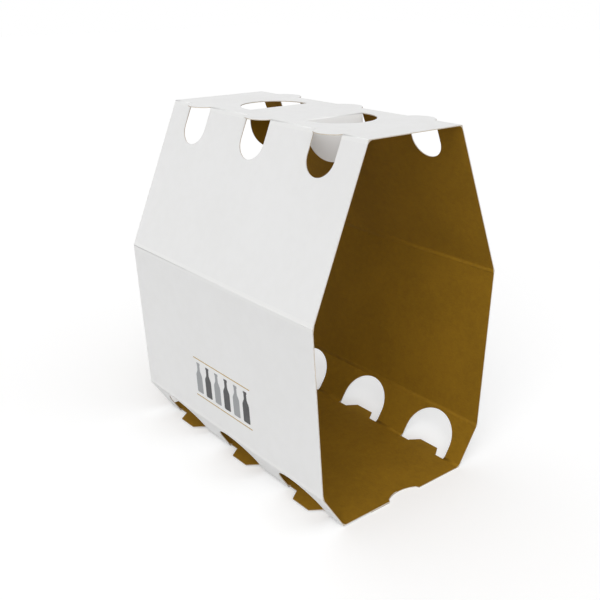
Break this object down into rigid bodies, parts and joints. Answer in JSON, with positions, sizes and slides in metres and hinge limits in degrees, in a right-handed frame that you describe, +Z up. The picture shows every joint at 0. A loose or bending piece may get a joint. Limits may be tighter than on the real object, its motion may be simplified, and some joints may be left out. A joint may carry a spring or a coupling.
{
  "type": "six pack carrier",
  "caption": "Folded paperboard wrap carrier for bottles, open at both ends, with finger holes in its top panel, neck openings, heel openings and a lapped base.",
  "frame": {"origin": "under the middle of the base, on the surface the carrier stands on", "axes": "+Z up, +Y along the row of three bottles from the near open end to the far one, +X from the left side to the right side"},
  "size_m": [0.143, 0.1838, 0.217],
  "materials": {
    "kraft_board": "uncoated brown kraft board, fibrous and matt, darker on its cut edges",
    "white_liner": "white clay-coated liner, smooth with a faint sheen"
  },
  "bodies": {
    "handle_panel": {"handle_panel_board": "kraft_board", "handle_panel_liner": "white_liner"},
    "near_finger_flap": {"near_finger_flap_board": "kraft_board", "near_finger_flap_liner": "white_liner"},
    "far_finger_flap": {"far_finger_flap_board": "kraft_board", "far_finger_flap_liner": "white_liner"},
    "left_shoulder": {"left_shoulder_board": "kraft_board", "left_shoulder_liner": "white_liner"},
    "right_shoulder": {"right_shoulder_board": "kraft_board", "right_shoulder_liner": "white_liner"},
    "left_side": {"left_side_board": "kraft_board", "left_side_liner": "white_liner"},
    "right_side": {"right_side_board": "kraft_board", "right_side_liner": "white_liner"},
    "left_heel": {"left_heel_board": "kraft_board", "left_heel_liner": "white_liner"},
    "right_heel": {"right_heel_board": "kraft_board", "right_heel_liner": "white_liner"},
    "inner_base_flap": {"inner_base_flap_board": "kraft_board", "inner_base_flap_liner": "white_liner"},
    "outer_base_flap": {"outer_base_flap_board": "kraft_board", "outer_base_flap_liner": "white_liner"}
  },
  "joints": [
    {"name": "right_shoulder_crease", "type": "hinge", "parent": "handle_panel", "child": "right_shoulder", "pos_m": [0.03479, 0, 0.2164], "axis": [0, -1, 0], "range_deg": [0, 68.55]},
    {"name": "right_side_crease", "type": "hinge", "parent": "right_shoulder", "child": "right_side", "pos_m": [0.07089, 0, 0.12451], "axis": [0, -1, 0], "range_deg": [0, 25.8]},
    {"name": "right_heel_crease", "type": "hinge", "parent": "right_side", "child": "right_heel", "pos_m": [0.06321, 0, 0.0237], "axis": [0, -1, 0], "range_deg": [0, 29.73]},
    {"name": "right_base_crease", "type": "hinge", "parent": "right_heel", "child": "outer_base_flap", "pos_m": [0.04758, 0, 0.0006], "axis": [0, -1, 0], "range_deg": [0, 55.92]},
    {"name": "left_shoulder_crease", "type": "hinge", "parent": "handle_panel", "child": "left_shoulder", "pos_m": [-0.03479, 0, 0.2164], "axis": [0, 1, 0], "range_deg": [0, 68.55]},
    {"name": "left_side_crease", "type": "hinge", "parent": "left_shoulder", "child": "left_side", "pos_m": [-0.07089, 0, 0.12451], "axis": [0, 1, 0], "range_deg": [0, 25.8]},
    {"name": "left_heel_crease", "type": "hinge", "parent": "left_side", "child": "left_heel", "pos_m": [-0.06321, 0, 0.0237], "axis": [0, 1, 0], "range_deg": [0, 29.73]},
    {"name": "left_base_crease", "type": "hinge", "parent": "left_heel", "child": "inner_base_flap", "pos_m": [-0.04806, 0, 0.0013], "axis": [0, 1, 0], "range_deg": [0, 55.92]},
    {"name": "near_finger_flap_crease", "type": "hinge", "parent": "handle_panel", "child": "near_finger_flap", "pos_m": [0, -0.0254, 0.2164], "axis": [1, 0, 0], "range_deg": [-82, 78]},
    {"name": "far_finger_flap_crease", "type": "hinge", "parent": "handle_panel", "child": "far_finger_flap", "pos_m": [0, 0.0254, 0.2164], "axis": [-1, 0, 0], "range_deg": [-82, 78]}
  ],
  "couplings": [
    {"joint": "right_side_crease", "follows": "right_shoulder_crease", "ratio": 0.3764},
    {"joint": "right_heel_crease", "follows": "right_shoulder_crease", "ratio": 0.43364},
    {"joint": "right_base_crease", "follows": "right_shoulder_crease", "ratio": 0.8157},
    {"joint": "left_shoulder_crease", "follows": "right_shoulder_crease", "ratio": 1},
    {"joint": "left_side_crease", "follows": "right_shoulder_crease", "ratio": 0.3764},
    {"joint": "left_heel_crease", "follows": "right_shoulder_crease", "ratio": 0.43364},
    {"joint": "left_base_crease", "follows": "right_shoulder_crease", "ratio": 0.8157}
  ]
}
